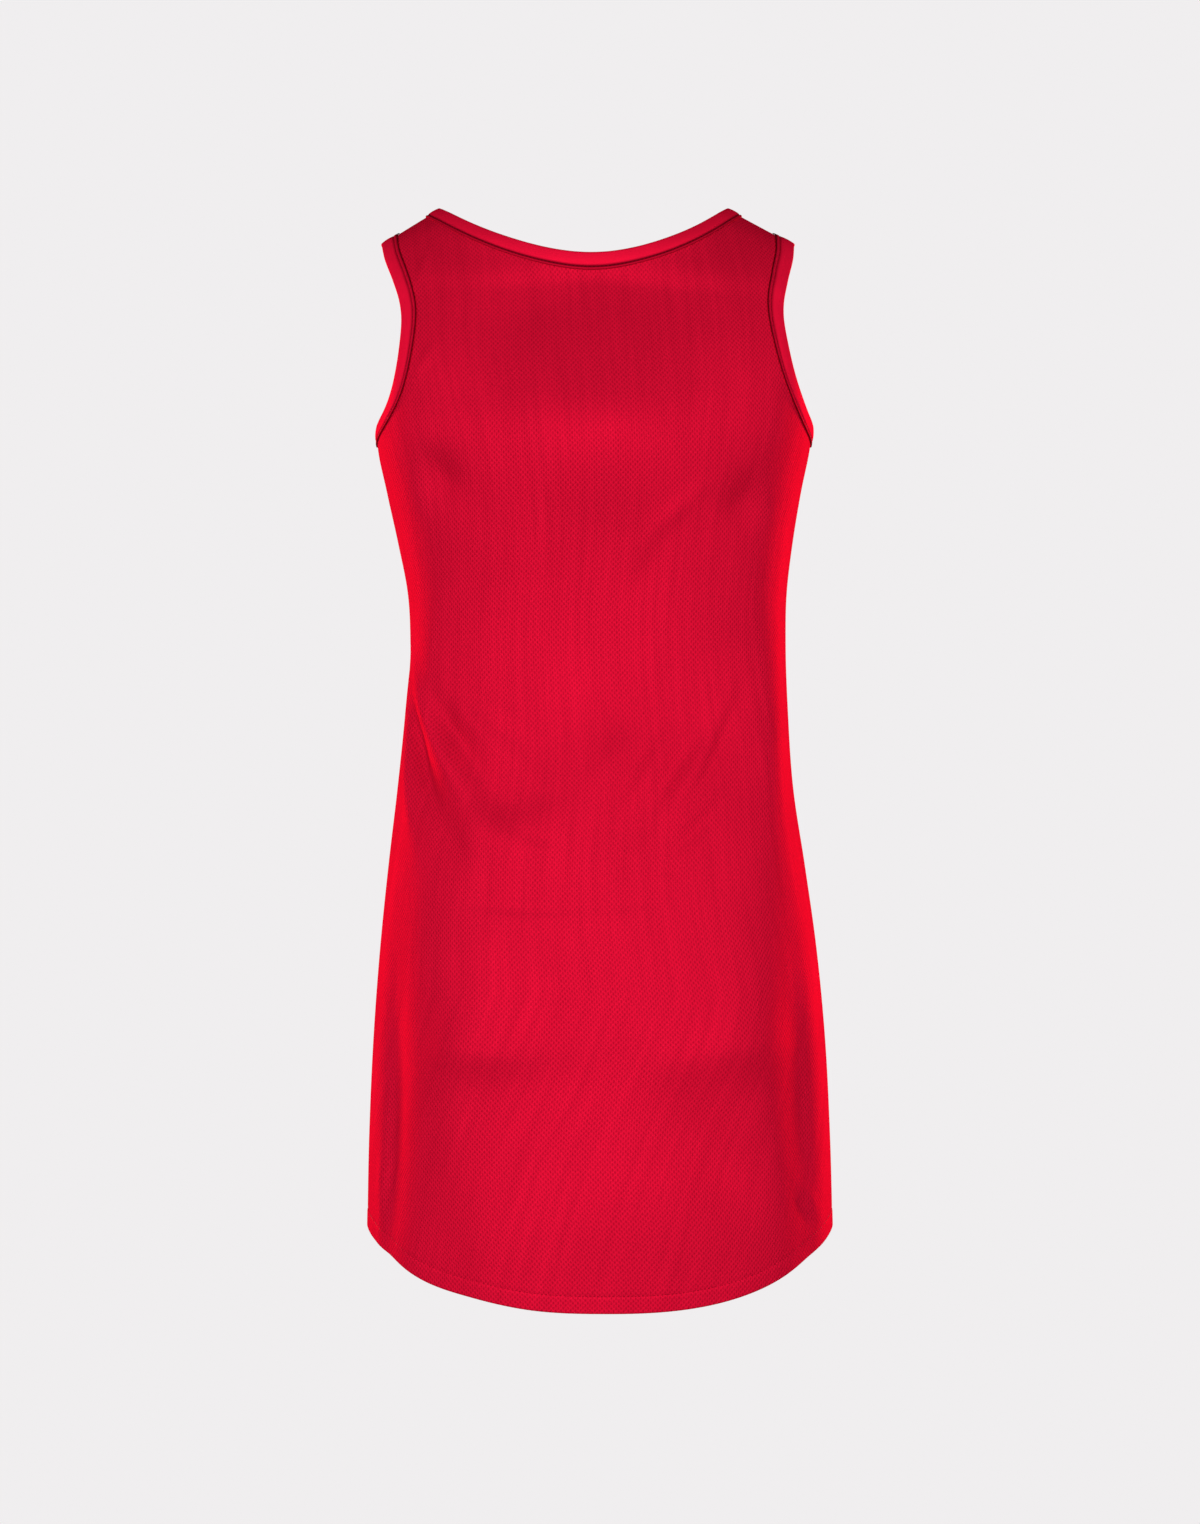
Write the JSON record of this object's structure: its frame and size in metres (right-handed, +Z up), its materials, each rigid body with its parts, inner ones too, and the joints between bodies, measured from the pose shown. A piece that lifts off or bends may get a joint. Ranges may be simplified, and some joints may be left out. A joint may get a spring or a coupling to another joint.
{
  "type": "jersey dress",
  "caption": "Sleeveless mesh-knit jersey dress, hollow as worn, with bound neck and armholes and a curved hem.",
  "frame": {"origin": "midway between the two shoulder points, where the neck edge meets the shoulder seams and a wearer's shoulders hold the dress up", "axes": "+Z up; the wearer faces -Y, so the back panel is towards +Y; the wearer's left is +X"},
  "size_m": [0.3619, 0.2512, 0.8423],
  "materials": {
    "mesh_knit": "red birdseye mesh knit, matt with a soft sheen",
    "plain_knit": "red fine plain knit, matt"
  },
  "bodies": {
    "root": {"back_panel": "mesh_knit", "front_panel": "mesh_knit", "neck_binding": "plain_knit", "armhole_binding_left": "plain_knit", "armhole_binding_right": "plain_knit"}
  },
  "joints": []
}
